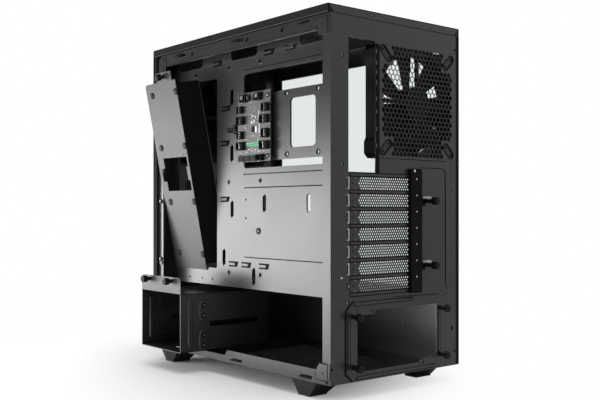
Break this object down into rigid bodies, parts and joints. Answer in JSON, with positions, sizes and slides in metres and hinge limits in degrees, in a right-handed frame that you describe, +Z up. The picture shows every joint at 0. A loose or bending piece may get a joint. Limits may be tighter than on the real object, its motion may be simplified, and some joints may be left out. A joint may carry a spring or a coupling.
{
  "type": "desktop computer tower",
  "caption": "Steel computer tower with its right side off: board tray, drawn-out drive cage, leaning cable cover, fans and power supply bay.",
  "frame": {"origin": "middle of the bottom of the bounding box, on the floor, with the drawn-out cage and the thumbscrews counted in", "axes": "+X to the open right side, +Y to the rear with the sockets and fan, +Z up"},
  "size_m": [0.2824, 0.418, 0.463],
  "materials": {
    "black_steel": "satin black powder coat on steel sheet",
    "cap_black": "satin black powder coat",
    "cover_black": "satin black powder coat",
    "smoked_glass": "polished toughened glass, lightly tinted",
    "glass_edge_print": "black ceramic print on the glass",
    "circuit_board": "black solder mask with tinned joints",
    "black_nylon": "moulded nylon",
    "white_nylon": "moulded nylon",
    "green_nylon": "moulded nylon",
    "chip_resin": "moulded resin",
    "brass_posts": "turned brass",
    "rubber": "soft moulded rubber",
    "rubber_studs": "rubber ring round a steel screw",
    "moulded_black": "fine-grained moulding",
    "socket_tongue": "blue socket tongue",
    "button_black": "smooth moulding",
    "fan_black": "glass-filled moulding",
    "fan_blade": "ribbed moulding",
    "filter_mesh": "fine nylon mesh in a moulded frame",
    "knob_black": "knurled, blackened steel"
  },
  "bodies": {
    "chassis": {"base_pan": "black_steel", "board_standoffs": "brass_posts", "cable_clip": "black_nylon", "data_socket_tongues": "socket_tongue", "fascia_clips": "black_nylon", "floor_grille": "black_steel", "foot_front_left": "moulded_black", "foot_front_right": "moulded_black", "foot_pads": "rubber", "foot_rear_left": "moulded_black", "foot_rear_right": "moulded_black", "front_fan_frame": "fan_black", "front_fascia": "moulded_black", "front_frame": "black_steel", "glass_band": "glass_edge_print", "hub_board": "circuit_board", "hub_bracket": "black_steel", "hub_chips": "chip_resin", "hub_headers": "black_nylon", "hub_light_strip": "green_nylon", "hub_posts": "black_nylon", "hub_power_sockets": "white_nylon", "io_port_block": "moulded_black", "motherboard_tray": "black_steel", "psu_frame": "black_steel", "psu_shroud": "black_steel", "psu_thumbscrews": "knob_black", "rear_fan_frame": "fan_black", "rear_fan_grille": "black_steel", "rear_panel": "black_steel", "side_glass": "smoked_glass", "slot_cover_1": "black_steel", "slot_cover_2": "black_steel", "slot_cover_3": "black_steel", "slot_cover_4": "black_steel", "slot_cover_5": "black_steel", "slot_cover_6": "black_steel", "slot_cover_7": "black_steel", "slot_screw_cover": "cover_black", "slot_thumbscrews": "knob_black", "top_cap": "cap_black", "top_filter": "filter_mesh", "top_frame": "black_steel"},
    "drive_cage_slide": {"drive_cage": "black_steel", "cage_thumbscrews": "knob_black", "drive_grommets": "rubber"},
    "cable_cover_leaf": {"cable_cover": "cover_black", "drive_studs": "rubber_studs", "cover_thumbscrew": "knob_black"},
    "rear_fan_wheel": {"rear_fan_rotor": "fan_blade"},
    "front_fan_wheel": {"front_fan_rotor": "fan_blade"},
    "power_key": {"power_button": "button_black"},
    "light_key": {"light_button": "button_black"},
    "floor_filter": {"bottom_filter": "filter_mesh"}
  },
  "joints": [
    {"name": "cage_slide", "type": "slide", "parent": "chassis", "child": "drive_cage_slide", "axis": [1, 0, 0], "range_m": [-0.0642, 0.06]},
    {"name": "cover_tilt", "type": "hinge", "parent": "chassis", "child": "cable_cover_leaf", "pos_m": [0.06305, -0.1442, 0.1386], "axis": [0, 1, 0], "range_deg": [-11.2, 0]},
    {"name": "rear_fan_spin", "type": "hinge", "parent": "chassis", "child": "rear_fan_wheel", "pos_m": [-0.0625, 0.1735, 0.358], "axis": [0, 1, 0], "continuous": true},
    {"name": "front_fan_spin", "type": "hinge", "parent": "chassis", "child": "front_fan_wheel", "pos_m": [-0.02575, -0.1855, 0.365], "axis": [0, 1, 0], "continuous": true},
    {"name": "power_press", "type": "slide", "parent": "chassis", "child": "power_key", "axis": [0, 0, -1], "range_m": [0, 0.0012], "stiffness_N_per_m": 400, "springref_m": -0.001},
    {"name": "light_press", "type": "slide", "parent": "chassis", "child": "light_key", "axis": [0, 0, -1], "range_m": [0, 0.0012], "stiffness_N_per_m": 300, "springref_m": -0.001},
    {"name": "filter_pull", "type": "slide", "parent": "chassis", "child": "floor_filter", "axis": [0, -1, 0], "range_m": [0, 0.15]}
  ]
}
